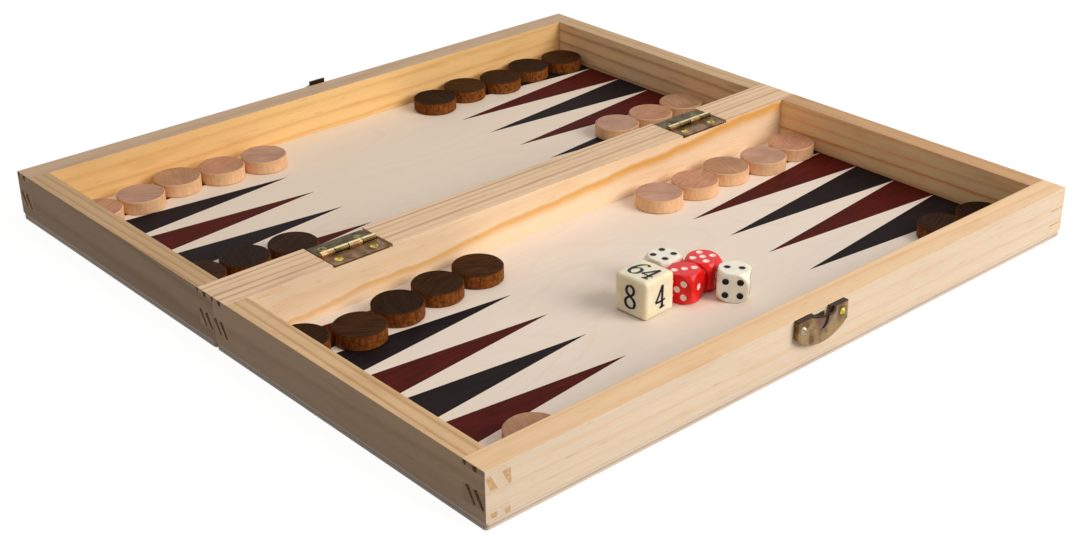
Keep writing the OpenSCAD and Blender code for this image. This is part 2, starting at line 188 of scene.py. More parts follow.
def set_stops(ramp, stops):
    """Gives a colour ramp its stops, as pairs of position and colour."""
    while len(ramp.elements) < len(stops):
        ramp.elements.new(0.5)
    for element, (position, colour) in zip(ramp.elements, stops):
        element.position = position
        element.color = colour


class Recipe:
    """The node tree of one finish, of the ground or of the world."""

    def __init__(self, tree):
        self.tree = tree
        tree.nodes.clear()

    def node(self, kind, settings=None, sockets=None, output=0):
        """Adds a node. Its settings come first, because they can change which sockets it has."""
        made = self.tree.nodes.new("ShaderNode" + kind)
        for key, value in (settings or {}).items():
            if key == "stops":
                set_stops(made.color_ramp, value)
            else:
                setattr(made, key, value)
        for key, value in (sockets or {}).items():
            if isinstance(value, Wire):
                self.tree.links.new(value.socket, made.inputs[key])
            else:
                made.inputs[key].default_value = value
        return Wire(self, made.outputs[output]) if made.outputs else None

    def mix(self, factor, first, second):
        """A colour between two colours. Sockets 6, 7 and 2 are the Mix node's colour ones."""
        return self.node("Mix", {"data_type": "RGBA"}, {0: factor, 6: first, 7: second}, output=2)

    def shade(self, colour, strength):
        """A colour made lighter or darker by a number."""
        return self.node("VectorMath", {"operation": "SCALE"}, {0: colour, "Scale": strength})

    def vector(self, x, y, z):
        return self.node("CombineXYZ", {}, {0: x, 1: y, 2: z})

    def parts(self, vector):
        """The three numbers of a vector."""
        first = self.node("SeparateXYZ", {}, {0: vector})
        return first, first.also(1), first.also(2)

    def noise(self, place, size=1.0, detail=2.0, seed=0.0):
        """Cloudy values round 0.5 whose lumps have about the given size, in millimetres."""
        sockets = {"Vector": place, "W": seed, "Scale": 1.0 / size, "Detail": detail}
        return self.node("TexNoise", {"noise_dimensions": "4D"}, sockets)

    def ramp(self, value, stops):
        return self.node("ValToRGB", {"stops": stops}, {0: value})

    def place_mm(self):
        """The point on the piece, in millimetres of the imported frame."""
        spot = self.node("TexCoord", output="Object")
        return self.node("VectorMath", {"operation": "SCALE"}, {0: spot, "Scale": 1.0 / MM})

    def facing(self):
        """The direction that the surface faces, in the piece's own axes."""
        return self.node("TexCoord", output="Normal")

    def relief(self, height, depth_mm, under=None):
        """A normal that makes height look like a relief of that depth."""
        sockets = {"Height": height, "Distance": depth_mm * MM, "Strength": 1.0}
        if under:
            sockets["Normal"] = under
        return self.node("Bump", {}, sockets)

    def soft_edges(self, radius_mm):
        """A normal that rounds sharp edges a little, as sanding does."""
        return self.node("Bevel", {"samples": 4}, {"Radius": radius_mm * MM})

    def surface(self, sockets):
        shader = self.node("BsdfPrincipled", {}, sockets)
        self.node("OutputMaterial", {}, {"Surface": shader})


print("recipes ready")

# %% Colours and finishes


def paint(code):
    """The linear colour of a hex code as a screen shows it."""
    parts = [int(code[i:i + 2], 16) / 255 for i in (1, 3, 5)]
    linear = [c / 12.92 if c <= 0.04045 else ((c + 0.055) / 1.055) ** 2.4 for c in parts]
    return (*linear, 1.0)


def grey(value):
    return (value, value, value, 1.0)


def new_finish(name):
    """A material and the recipe that fills it."""
    finish = bpy.data.materials.new(name)
    finish.use_nodes = True
    return finish, Recipe(finish.node_tree)


def dress(finish, *names):
    """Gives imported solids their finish."""
    for name in names:
        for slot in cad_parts[name].material_slots:
            slot.material = finish


print("finishes ready")

# %% [markdown]
# ## Ground, backdrop and light
# The case was photographed on white and lit from the front right: the front wall and the tops are
# bright and the left walls are dark. The key lamp does that, and a weak wide lamp overhead softens
# the shadows inside. Camera rays see plain white, so the background needs no extra light. Rays that
# carry light between surfaces see a far darker grey, which keeps the shade on the left side. The
# ground adds a little of its own shading, so the case keeps its shadow.

# %% White world
AMBIENT = 0.22
WHITE = grey(1.0)
SKY_TINT = "#f3f1f1"


def seen_directly(recipe):
    """1 for rays from the camera and for mirrored and see-through rays, otherwise 0."""
    eye = recipe.node("LightPath", output="Is Camera Ray")
    bounced = eye.math("MAXIMUM", eye.also("Is Glossy Ray"), eye.also("Is Transmission Ray"))
    return eye.math("MAXIMUM", eye, bounced)


world = bpy.data.worlds.new("white_studio")
bpy.context.scene.world = world
world.use_nodes = True
sky = Recipe(world.node_tree)
seen = seen_directly(sky)
sky_colour = sky.mix(seen, paint(SKY_TINT), WHITE)
sky_light = sky.node("Background", {}, {"Color": sky_colour, "Strength": AMBIENT + (1 - AMBIENT) * seen})
sky.node("OutputWorld", {}, {"Surface": sky_light})
print("ambient strength", AMBIENT)

# %% Ground with a faint shadow
GROUND_SIZE = 4.0
GROUND_GREY = grey(0.35)
GROUND_SHADE = grey(0.16)
GROUND_GLOW = 0.93
GROUND_CLEARANCE = 0.05 * MM
edge = GROUND_SIZE / 2
ground_corners = [(-edge, -edge, 0), (edge, -edge, 0), (edge, edge, 0), (-edge, edge, 0)]
ground_mesh = bpy.data.meshes.new("ground")
ground_mesh.from_pydata(ground_corners, [], [(0, 1, 2, 3)])
ground = bpy.data.objects.new("ground", ground_mesh)
bpy.context.scene.collection.objects.link(ground)
ground.location.z = solid_box[0].z - GROUND_CLEARANCE
ground_finish, recipe = new_finish("ground")
seen = recipe.node("AddShader", {}, {
    0: recipe.node("Emission", {}, {"Color": WHITE, "Strength": GROUND_GLOW}),
    1: recipe.node("BsdfDiffuse", {}, {"Color": GROUND_SHADE}),
})
unseen = recipe.node("BsdfDiffuse", {}, {"Color": GROUND_GREY})
both = recipe.node("MixShader", {}, {0: seen_directly(recipe), 1: unseen, 2: seen})
recipe.node("OutputMaterial", {}, {"Surface": both})
ground_mesh.materials.append(ground_finish)
print("ground at", ground.location.z)

# %% Lamps
CASE_MIDDLE = Vector((0, 0, 0))


def lamp(name, turn, rise, distance, size, watts, colour):
    """A square area lamp aimed at the middle of the case, at angles in degrees."""
    data = bpy.data.lights.new(name, "AREA")
    data.size = size
    data.energy = watts
    data.color = colour[:3]
    spot = CASE_MIDDLE + distance * direction(math.radians(turn), math.radians(rise))
    aim(bpy.data.objects.new(name, data), spot, CASE_MIDDLE)


WARM_WHITE = paint("#fff6ea")
lamp("key_lamp", turn=-26, rise=31, distance=1.6, size=0.96, watts=22.0, colour=WARM_WHITE)
lamp("top_lamp", turn=0, rise=86, distance=1.0, size=0.90, watts=3.0, colour=WARM_WHITE)

# %% [markdown]
# ## Pine
# A tree's trunk is a stack of thin shells round its middle, the pith. A board shows where its faces
# cut through them: lines along the board where it crosses the shells steeply, and wide wandering
# bands where it runs along one. So the grain comes from one number, the distance to the pith, and
# each wall gets its own pith, as if it were sawn from another part of the log. The end grain on the
# finger joints shows the same rings faintly, under an even colour of its own.

# %% Logs


class Log:
    """The look of the boards from one log: early wood and late wood, on the faces and on the rim, the
    even colour of the end grain, and how strongly the rings show on the faces and on the rim."""

    def __init__(self, face, late_face, rim, late_rim, end, contrast, rim_contrast):
        self.face = face
        self.late_face = late_face
        self.rim = rim
        self.late_rim = late_rim
        self.end = end
        self.contrast = contrast
        self.rim_contrast = rim_contrast


CREAM = "#efdcc6"
TAN = "#d3b293"
CREAM_LOG = Log(CREAM, "#e3bd90", "#efcfa9", "#dca873", "#b3957b", contrast=0.42, rim_contrast=0.55)
STRIPED_LOG = Log("#f3dabb", "#e3ab66", "#e9cbaa", "#a57b63", TAN, contrast=0.35, rim_contrast=0.95)
AMBER_LOG = Log("#f1c98c", "#d29446", "#cbaf92", "#a58a70", TAN, contrast=0.5, rim_contrast=0.4)
TAN_LOG = Log(TAN, "#a98465", "#dbba90", "#a87540", CREAM, contrast=0.6, rim_contrast=0.75)
# The back left wall's log is a darker copy of the tan one: painted shade on that wall
SHADED_LOG = Log("#bd9e7f", "#946f50", "#c7a77f", "#936c40", CREAM, contrast=0.6, rim_contrast=0.7)
# The right walls' faces are far paler than their rims: painted light on the shaded inner faces
HONEY_LOG = Log("#ffdca8", "#e08a46", "#c9a279", "#9f6f47", CREAM, contrast=0.85, rim_contrast=0.5)
BROWN_LOG = Log("#ffdcae", "#9c5729", "#ccaf8a", "#a27752", CREAM, contrast=0.75, rim_contrast=0.5)
print("logs ready")

# %% Sawn pine
# From one ring to the next the wood stays pale at first, darkens into late wood and soon pales again
RING = [
    (0.0, grey(0.2)),
    (0.1, grey(0.0)),
    (0.48, grey(0.0)),
    (0.68, grey(0.25)),
    (0.86, grey(1.0)),
    (1.0, grey(0.2)),
]
RESIN = "#e3ab5a"
FLECK_BROWN = "#9b6a3c"
# The stripe of resin waves up and down along the board, in millimetres
WAVE_LENGTH = 26
WAVE_HEIGHT = 6


def pine(name, log, along, pith, ring, wander, lean, seed, even=0.35, flame=None):
    """Pine sawn along "X" or "Y".

    pith is the middle of the rings across the board, as millimetres across and up in the frame.
    ring is the distance between rings, wander how far they stray, lean how far they drift over a
    metre of the board, and even how much the faintest ring shows. flame is one amber stripe of
    resin that climbs over the face: its two ends, along the board and up, and its width at each.
    """
    finish, recipe = new_finish(name)
    x, y, z = recipe.parts(recipe.place_mm())
    nx, ny, nz = recipe.parts(recipe.facing())
    run, across = (x, y) if along == "X" else (y, x)
    end = abs(nx if along == "X" else ny).rising(0.6, 0.9)
    rim = nz.rising(0.6, 0.9)

    def streaks(stretch, size, detail, shift):
        """Noise that is drawn out along the board."""
        return recipe.noise(recipe.vector(run / stretch, across, z), size, detail, seed + shift)

    stray = streaks(8, size=14, detail=1.5, shift=0) - 0.5
    side = across - pith[0]
    rise = z - pith[1]
    distance = (side * side + rise * rise).root() + stray * (2 * wander) + run * (lean / 1000)
    uneven = recipe.noise(recipe.vector(distance, 0.0, 0.0), size=3 * ring, detail=1.0, seed=seed + 5)
    count = (distance + uneven * (1.2 * ring)) / ring

    late = recipe.ramp(count.fraction(), RING)
    year = recipe.node("TexWhiteNoise", {"noise_dimensions": "1D"}, {"W": count.whole() + seed})
    band = late * (even + (1 - even) * year)
    band = band * (log.contrast + (log.rim_contrast - log.contrast) * rim)

    cloud = streaks(10, size=9, detail=2, shift=11)
    haze = streaks(7, size=4, detail=2, shift=13).rising(0.5, 0.75)
    fibre = streaks(24, size=0.45, detail=3, shift=17)
    fleck = streaks(9, size=0.8, detail=1, shift=23).rising(0.66, 0.76)

    early_colour = recipe.mix(rim, paint(log.face), paint(log.rim))
    late_colour = recipe.mix(rim, paint(log.late_face), paint(log.late_rim))
    colour = recipe.mix(band, early_colour, late_colour)
    colour = recipe.mix(haze * 0.28, colour, late_colour)
    if flame:
        (start, start_height, start_width), (stop, stop_height, stop_width) = flame
        along_flame = (run - start) / (stop - start)
        wave_place = recipe.vector(run / WAVE_LENGTH, 0.0, 0.0)
        wave = recipe.noise(wave_place, size=1, detail=2, seed=seed + 31) - 0.5
        middle = start_height + along_flame * (stop_height - start_height) + wave * WAVE_HEIGHT
        under = (z - middle) / (start_width + along_flame * (stop_width - start_width))
        streak = under.rising(-1.0, 0.0) * (1 - under.rising(0.0, 0.4)) * (1 - rim)
        streak = streak * (0.65 + 0.35 * along_flame.rising(0.0, 0.8))
        colour = recipe.mix(streak, colour, paint(RESIN))
    colour = recipe.mix(fleck * 0.22, colour, paint(FLECK_BROWN))
    colour = recipe.mix(end * 0.85, colour, paint(log.end))
    colour = recipe.shade(colour, 0.84 + 0.16 * cloud + 0.18 * fibre)

    height = fibre * 0.7 - band * 0.6
    recipe.surface({
        "Base Color": colour,
        "Roughness": 0.5 + 0.12 * fibre + 0.1 * end,
        "Normal": recipe.relief(height, 0.05, recipe.soft_edges(0.45)),
        "Specular IOR Level": 0.2,
    })
    return finish


print("stops through one ring:", len(RING))

# %% Dress the walls
BOARDS = {
    "front_wall": dict(
        log=CREAM_LOG, along="X", pith=(-172, -16), ring=4.2, wander=2.0, lean=10, seed=1.3),
    "back_wall": dict(
        log=AMBER_LOG, along="X", pith=(120, -30), ring=5.5, wander=2.5, lean=-14, seed=2.1),
    "front_fold_wall": dict(
        log=STRIPED_LOG, along="X", pith=(-300, -60), ring=3.7, wander=1.0, lean=-13, seed=3.7,
        even=0.15, flame=[(-125, 5.5, 3.0), (125, 19.5, 6.0)]),
    "back_fold_wall": dict(
        log=STRIPED_LOG, along="X", pith=(300, -50), ring=3.3, wander=1.0, lean=6, seed=4.9, even=0.3),
    "front_left_wall": dict(
        log=TAN_LOG, along="Y", pith=(-60, -12), ring=4.0, wander=1.5, lean=8, seed=5.2),
    "back_left_wall": dict(
        log=SHADED_LOG, along="Y", pith=(-64, -8), ring=3.6, wander=1.4, lean=-8, seed=6.4),
    "front_right_wall": dict(
        log=HONEY_LOG, along="Y", pith=(190, -40), ring=4.5, wander=1.5, lean=10, seed=7.7, even=0.3),
    "back_right_wall": dict(
        log=BROWN_LOG, along="Y", pith=(196, -38), ring=4.5, wander=1.5, lean=-8, seed=8.3),
}
for wall, board in BOARDS.items():
    dress(pine("pine_" + wall.removesuffix("_wall"), **board), wall)
print("pine boards dressed:", len(BOARDS))

# %% [markdown]
# ## Board panels
# Each tray is closed by a thin plywood panel. Its upper face is printed off-white, its edge shows
# three plies as a dull strip under the walls, and its underside is bare veneer. One material covers
# all three, because the direction that the surface faces tells them apart.

# %% Plywood panels
PLY_THICKNESS = 0.84
PLY_EDGES = ("#e6d8c9", "#cdb7a2")
BARE_VENEER = ("#dcbf95", "#e8cfa8")
FIGURE = "#dcc5a4"
FIGURE_LINES = 16


def plywood(name, dark, light, seed):
    """Plywood with a print between two off-white tones, through which the veneer's figure shows."""
    finish, recipe = new_finish(name)
    x, y, z = recipe.parts(recipe.place_mm())
    nz = recipe.parts(recipe.facing())[2]
    grain = recipe.noise(recipe.vector(x / 16, y, z), size=1.6, detail=3, seed=seed)
    cloud = recipe.noise(recipe.vector(x / 3, y, z), size=26, detail=2, seed=seed + 3)
    print_face = recipe.mix(grain, paint(dark), paint(light))
    hill = recipe.noise(recipe.vector(x / 2.5, y, 0.0), size=60, detail=1, seed=seed + 7)
    figure = (hill * FIGURE_LINES).fraction().rising(0.7, 1.0) * cloud.rising(0.4, 0.6)
    print_face = recipe.mix(figure * 0.16, print_face, paint(FIGURE))
    veneer = recipe.mix(grain.rising(0.35, 0.65), *[paint(code) for code in BARE_VENEER])
    odd_ply = ((z / PLY_THICKNESS).whole() * 0.5).fraction() * 2
    edge_colour = recipe.mix(odd_ply, *[paint(code) for code in PLY_EDGES])
    edge_colour = recipe.shade(edge_colour, 0.85 + 0.3 * grain)
    colour = recipe.mix(nz.rising(0.4, 0.6), edge_colour, print_face)
    colour = recipe.mix((0 - nz).rising(0.4, 0.6), colour, veneer)
    recipe.surface({
        "Base Color": colour,
        "Roughness": 0.46 + 0.1 * grain,
        "Normal": recipe.relief(grain, 0.01),
        "Specular IOR Level": 0.2,
    })
    return finish


dress(plywood("board_front", "#e9dcd1", "#f0e6dc", seed=1.0), "front_panel")
dress(plywood("board_back", "#e6d9cb", "#ede1d3", seed=4.0), "back_panel")
print("panels dressed")

# %% [markdown]
# ## New thin pieces
# Print, paint and open joints are thin things on a surface, and they need crisp edges. Each is
# modelled as a very thin closed solid, a few hundredths of a millimetre thick. The flat ones start a
# little below the surface that carries them. A local frame says where on the case each one lies.

# %% Thin solids
SUNK = 0.01 * MM
PROUD = 0.02 * MM


class Spot:
    """A local frame on a surface: right and up lie in it, and out leaves it."""

    def __init__(self, origin, right, up):
        self.origin = Vector(origin)
        self.right = Vector(right).normalized()
        self.up = Vector(up).normalized()
        self.out = self.right.cross(self.up)

    def at(self, u, v, height):
        return self.origin + self.right * u + self.up * v + self.out * height


def between_rings(first, second, count):
    """The four-sided faces between two closed rings of points, given by each ring's first number."""
    return [(first + k, first + (k + 1) % count, second + (k + 1) % count, second + k) for k in range(count)]


class ThinParts:
    """Collects thin closed solids that become one piece."""

    def __init__(self):
        self.verts = []
        self.faces = []

    def add(self, points, faces):
        first = len(self.verts)
        self.verts.extend(points)
        self.faces.extend(tuple(first + i for i in face) for face in faces)

    def plate(self, spot, outline):
        """A flat plate with a convex outline, given as (right, up) pairs."""
        n = len(outline)
        low = [spot.at(u, v, -SUNK) for u, v in outline]
        high = [spot.at(u, v, PROUD) for u, v in outline]
        ends = [tuple(reversed(range(n))), tuple(range(n, 2 * n))]
        self.add(low + high, ends + between_rings(0, n, n))

    def ribbon(self, spot, middle, widths):
        """A strip of changing width along a line of (right, up) pairs."""
        rails = []
        for i, (u, v) in enumerate(middle):
            before = middle[max(i - 1, 0)]
            after = middle[min(i + 1, len(middle) - 1)]
            slope = Vector((after[0] - before[0], after[1] - before[1])).normalized()
            half = widths[i] / 2
            left = (u - slope.y * half, v + slope.x * half)
            right = (u + slope.y * half, v - slope.x * half)
            rails.append([spot.at(*right, -SUNK), spot.at(*left, -SUNK),
                          spot.at(*left, PROUD), spot.at(*right, PROUD)])
        faces = [(3, 2, 1, 0)]
        last = 4 * (len(rails) - 1)
        for start in range(0, last, 4):
            faces.extend(between_rings(start, start + 4, 4))
        faces.append((last, last + 1, last + 2, last + 3))
        self.add([p for ring in rails for p in ring], faces)

    def piece(self, name, body, finish, slot):
        mesh = bpy.data.meshes.new(name)
        mesh.from_pydata(self.verts, [], self.faces)
        shell = bmesh.new()
        shell.from_mesh(mesh)
        bmesh.ops.recalc_face_normals(shell, faces=shell.faces)
        shell.to_mesh(mesh)
        shell.free()
        mesh.materials.append(finish)
        made = bpy.data.objects.new(name, mesh)
        bpy.context.scene.collection.objects.link(made)
        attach(made, body)
        print(name, len(mesh.vertices), "vertices")
        return made


print("thin solids ready")

# %% [markdown]
# ## Open spots in the finger joints
# The fingers were cut by machine, and the cutter left slanting slits and small notches. Shade falls
# into them, so each is painted as a short dark strip on the left or right face, at every corner and
# at the fold. On the front and back faces one end has pale brown patches, and the other only two thin
# seams of painted shade.

# %% Places of the slits, patches and seams
# Millimetres from the corner and above the ground. A slit has two ends and the width of its upper
# one, a patch has its corners, and each end of a seam has its distance and its width.
SLITS = [
    ((8.6, 12.7), (5.0, 7.0), 1.7),
    ((4.7, 12.5), (1.1, 6.9), 2.0),
    ((9.4, 20.8), (9.1, 19.2), 1.6),
    ((4.8, 20.8), (4.4, 18.9), 2.5),
]
PATCHES = [
    [(0.3, 18.6), (2.3, 18.6), (4.8, 13.4), (2.0, 13.4)],
    [(6.6, 18.5), (10.0, 18.5), (10.3, 13.1), (9.2, 13.1)],
    [(1.8, 5.4), (4.5, 5.4), (4.2, 3.4), (2.0, 3.6)],
    [(7.2, 5.0), (9.7, 5.0), (9.5, 2.7), (7.6, 2.9)],
]
SEAM_HEIGHTS = [12.9, 6.5]
SEAM_ENDS = [(0.3, 0.35), (8.0, 0.8)]
# Width of a slit's lower end, as a share of its upper one
FRAY = 0.55
print("at one joint:", len(SLITS), "slits,", len(PATCHES), "patches and", len(SEAM_HEIGHTS), "seams")

# %% Slits, patches and seams


def joint_shade_and_grain(name, dark, light):
    """Crumbly colour: painted shade in the slits and seams, and the end grain of the patches."""
    finish, recipe = new_finish(name)
    crumbs = recipe.noise(recipe.place_mm(), size=0.7, detail=3, seed=9.0)
    recipe.surface({
        "Base Color": recipe.mix(crumbs.rising(0.35, 0.7), paint(dark), paint(light)),
        "Roughness": 0.7 + 0.2 * crumbs,
        "Specular IOR Level": 0.1,
    })
    return finish


# The dark strips in the slits and notches are painted shade in the gaps
slit_shade = joint_shade_and_grain("slit_shade", "#664530", "#986e4c")
# Pale end grain for the patches; the thin seams drawn with it are painted shade in narrow gaps
end_grain_and_seam_shade = joint_shade_and_grain("end_grain_and_seam_shade", "#d2aa80", "#e3c29c")
for tray, word in TRAYS:
    slits = ThinParts()
    patches = ThinParts()
    joints = (-tray_depth, -fold_inner) if tray < 0 else (fold_gap, end_inner)
    face = Spot((0, tray * tray_depth, 0), (-tray, 0, 0), (0, 0, 1))
    for side in (-1, 1):
        flank = Spot((side * half_width, 0, 0), (0, side, 0), (0, 0, 1))
        for joint in joints:
            for top, low, wide in SLITS:
                line = [(side * (joint + u * MM), z * MM) for u, z in (top, low)]
                slits.ribbon(flank, line, [wide * MM, FRAY * wide * MM])
        if side == tray:
            for outline in PATCHES:
                patches.plate(face, [(-half_width + u * MM, z * MM) for u, z in outline])
        else:
            # Thin seams of painted shade in the narrow gaps between fingers
            for z in SEAM_HEIGHTS:
                line = [(half_width - u * MM, z * MM) for u, wide in SEAM_ENDS]
                patches.ribbon(face, line, [wide * MM for u, wide in SEAM_ENDS])
    slits.piece(word + "_joint_slits", word + "_tray", slit_shade, "pine")
    patches.piece(word + "_joint_patches", word + "_tray", end_grain_and_seam_shade, "pine")

# %% [markdown]
# ## Printed points
# Backgammon has twenty-four points: six long triangles on each side of each tray, wine red and
# blue-black by turns. On each side they fill the field from the fold to the outer wall, apart from
# a narrow plain strip at both ends. The ink lets a little of the wood's grain through.

# %% Printing ink


def printing_ink(name, dark, light, seed):
    """Matt ink that lets the grain of the wood below show."""
    finish, recipe = new_finish(name)
    x, y, z = recipe.parts(recipe.place_mm())
    grain = recipe.noise(recipe.vector(x / 14, y, z), size=0.9, detail=3, seed=seed)
    cloud = recipe.noise(recipe.vector(x, y, z), size=18, detail=2, seed=seed + 2)
    colour = recipe.mix(grain.rising(0.3, 0.75), paint(dark), paint(light))
    colour = recipe.shade(colour, 0.85 + 0.3 * cloud)
    recipe.surface({
        "Base Color": colour,
        "Roughness": 0.5 + 0.14 * grain,
        "Normal": recipe.relief(grain, 0.01),
        "Specular IOR Level": 0.05,
    })
    return finish


wine_ink = printing_ink("wine_ink", "#3d0e09", "#571a12", seed=1.0)
night_ink = printing_ink("night_ink", "#150f11", "#231a1c", seed=2.0)
print("inks ready")

# %% Points of the backgammon board
POINT_LENGTH = 92.3 * MM
POINT_MARGIN = 3.2 * MM
POINTS_PER_SIDE = 6
point_pitch = (end_inner - fold_inner - 2 * POINT_MARGIN) / POINTS_PER_SIDE
print("distance between points, mm:", round(point_pitch / MM, 2))


def printed_points(tray, first_red_left):
    """The points of one tray, by whether they are red. The sides start with different colours."""
    inks = {True: ThinParts(), False: ThinParts()}
    for side in (-1, 1):
        red = first_red_left if side < 0 else not first_red_left
        board = Spot((0, 0, board_height), (-side, 0, 0), (0, -side, 0))
        for i in range(POINTS_PER_SIDE):
            start = fold_inner + POINT_MARGIN + i * point_pitch
            ends = [(-side_inner, -side * tray * (start + k * point_pitch)) for k in (0, 1)]
            tip = (POINT_LENGTH - side_inner, -side * tray * (start + point_pitch / 2))
            inks[red].plate(board, [*ends, tip])
            red = not red
    return inks


for tray, word in TRAYS:
    inks = printed_points(tray, first_red_left=tray < 0)
    inks[True].piece(word + "_red_points", word + "_tray", wine_ink, "board_veneer")
    inks[False].piece(word + "_blue_points", word + "_tray", night_ink, "board_veneer")

# %% [markdown]
# ## Chess squares
# The outside of such a case carries a chessboard: four rows under each tray, which meet at the fold
# when the case lies open with its back up. The photograph doesn't show it, so it is kept plain.

# %% Chess squares under the trays
SQUARE = 35 * MM
COLUMNS = 8
ROWS = 4
row_pitch = SQUARE - fold_gap / ROWS
dark_square_ink = printing_ink("dark_square_ink", "#4a2c1c", "#5f3a25", seed=3.0)
under = Spot((0, 0, 0), (1, 0, 0), (0, -1, 0))
for tray, word in TRAYS:
    squares = ThinParts()
    for column in range(COLUMNS):
        for row in range(ROWS):
            if (column + row) % 2 == (0 if tray < 0 else 1):
                u = (column - COLUMNS // 2) * SQUARE
                v = -tray * (fold_gap + row * row_pitch)
                reach = -tray * SQUARE
                squares.plate(under, [(u, v), (u + SQUARE, v), (u + SQUARE, v + reach), (u, v + reach)])
    squares.piece(word + "_chess_squares", word + "_tray", dark_square_ink, "board_veneer")

# %% [markdown]
# ## Draughtsmen
# The men are slices of a wooden dowel. Their round side is long grain, and their faces are end
# grain, which drinks more stain. So the dark men are nearly black brown on top and a mottled orange
# brown round the side, and the light men are pinkish on top and yellowish round the side.

# %% Turned wood


def turned_wood(name, top, top_line, side, side_fleck, rim, mottle, turn):
    """Stained or bare wood of the men.

    mottle is how strongly the side is blotched, and turn the direction of the lines on the faces,
    in degrees.
    """
    finish, recipe = new_finish(name)
    spot = recipe.place_mm()
    x, y, z = recipe.parts(spot)
    nz = recipe.parts(recipe.facing())[2]
    angle = math.radians(turn)
    run = x * math.cos(angle) + y * math.sin(angle)
    across = y * math.cos(angle) - x * math.sin(angle)
    pores = recipe.noise(spot, size=0.35, detail=2, seed=1.0)
    cloud = recipe.noise(spot, size=11, detail=2, seed=2.0)
    lines = recipe.noise(recipe.vector(run / 9, across, z), size=0.9, detail=3, seed=6.0)
    streak = recipe.noise(recipe.vector(x, y, z / 7), size=0.7, detail=3, seed=3.0)
    blotch = recipe.noise(recipe.vector(x, y, z / 1.3), size=0.9, detail=3, seed=4.0)

    face = recipe.mix((lines * 0.6 + pores * 0.4).rising(0.34, 0.66), paint(top), paint(top_line))
    face = recipe.shade(face, 0.65 + 0.7 * cloud)
    spots = streak.rising(0.35, 0.65) * (1 - mottle) + blotch.rising(0.35, 0.65) * mottle
    round_side = recipe.mix(spots, paint(side), paint(side_fleck))
    round_side = recipe.shade(round_side, 0.8 + 0.4 * cloud)
    flat = abs(nz)
    colour = recipe.mix(flat.rising(0.35, 0.5), round_side, paint(rim))
    colour = recipe.mix(flat.rising(0.85, 0.95), colour, face)
    recipe.surface({
        "Base Color": colour,
        "Roughness": 0.42 + 0.16 * pores,
        "Normal": recipe.relief(pores * 0.5 + lines * 0.5, 0.04, recipe.soft_edges(0.3)),
        "Specular IOR Level": 0.03,
    })
    return finish


print("turned wood ready")

# %% Dress the men
# Three faces of each colour, as the wood and a line in it, and what all men of a colour share:
# the round side, its flecks, the colour of the bevelled edge and the mottling
DARK_TONES = [("#1c0e06", "#39220f"), ("#211005", "#472a12"), ("#160b06", "#2e1b0f")]
DARK_SIDE = ("#552a11", "#8f5627", "#4a2a14", 0.6)
LIGHT_TONES = [("#b28167", "#c5967c"), ("#b08a77", "#c19c8b"), ("#ab8266", "#be9478")]
LIGHT_SIDE = ("#dfb088", "#ecc299", "#d9ae8b", 0.3)
GRAIN_TURNS = [20, -35, 70]
MEN_OF_A_COLOUR = 15
for tone, turn in enumerate(GRAIN_TURNS):
    dark = turned_wood(f"dark_stained_wood_{tone + 1}", *DARK_TONES[tone], *DARK_SIDE, turn)
    light = turned_wood(f"light_wood_{tone + 1}", *LIGHT_TONES[tone], *LIGHT_SIDE, turn)
    numbers = range(1 + tone, MEN_OF_A_COLOUR + 1, len(GRAIN_TURNS))
    dress(dark, *[f"dark_man_{i:02}" for i in numbers])
    dress(light, *[f"light_man_{i:02}" for i in numbers])
print("draughtsmen dressed:", 2 * MEN_OF_A_COLOUR)

# %% [markdown]
# ## Dice and doubling cube
# The dice are moulded in opaque plastic and tumbled until they shine. Paint lies in their pips, so
# each pip gets a thin bowl of paint of its own. The doubling cube carries the numbers 2 to 64.

# %% Plastic


def plastic(name, colour, shadow, roughness, shine, depth_mm, seed):
    """Moulded plastic, a little darker and duller in cloudy patches. Light goes in to a small depth."""
    finish, recipe = new_finish(name)
    spot = recipe.place_mm()
    cloud = recipe.noise(spot, size=5, detail=2, seed=seed)
    scuff = recipe.noise(spot, size=0.4, detail=3, seed=seed + 1)
    recipe.surface({
        "Base Color": recipe.mix(cloud.rising(0.3, 0.8), paint(colour), paint(shadow)),
        "Roughness": roughness + 0.12 * scuff,
        "Normal": recipe.relief(scuff, 0.004, recipe.soft_edges(0.7)),
        "Specular IOR Level": shine,
        "Subsurface Weight": 0.7,
        "Subsurface Radius": (1.0, 0.75, 0.45),
        "Subsurface Scale": depth_mm * MM,
    })
    return finish


dress(plastic("ivory_plastic", "#fbf7ec", "#f3ecdb", roughness=0.18, shine=0.3, depth_mm=2.0, seed=1.0),
      "ivory_die_1", "ivory_die_2")
dress(plastic("red_plastic", "#f3191a", "#d61516", roughness=0.15, shine=0.25, depth_mm=0.5, seed=3.0),
      "red_die_1", "red_die_2")
dress(plastic("cream_plastic", "#f8f0da", "#efe1bd", roughness=0.22, shine=0.3, depth_mm=4.0, seed=5.0),
      "doubling_cube")
print("dice dressed")

# %% Pips of a die
DIE_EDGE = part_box("red_die_1")[1].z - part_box("red_die_1")[0].z
PIP_RADIUS = 1.3 * MM
PIP_DEPTH = 0.35 * MM
PIP_STEP = 2.75 * MM
PAINT_DEPTH = 0.025 * MM
PIP_RINGS = 6
PIP_SIDES = 24
PIPS = {
    1: [(0, 0)],
    2: [(-1, 0), (1, 0)],
    3: [(-1, 1), (0, 0), (1, -1)],
    4: [(-1, -1), (-1, 1), (1, -1), (1, 1)],
    5: [(-1, -1), (-1, 1), (0, 0), (1, -1), (1, 1)],
    6: [(-1, -1), (-1, 0), (-1, 1), (1, -1), (1, 0), (1, 1)],
}
print("edge of a die, mm:", round(DIE_EDGE / MM, 2))

# %% Faces of a turned cube


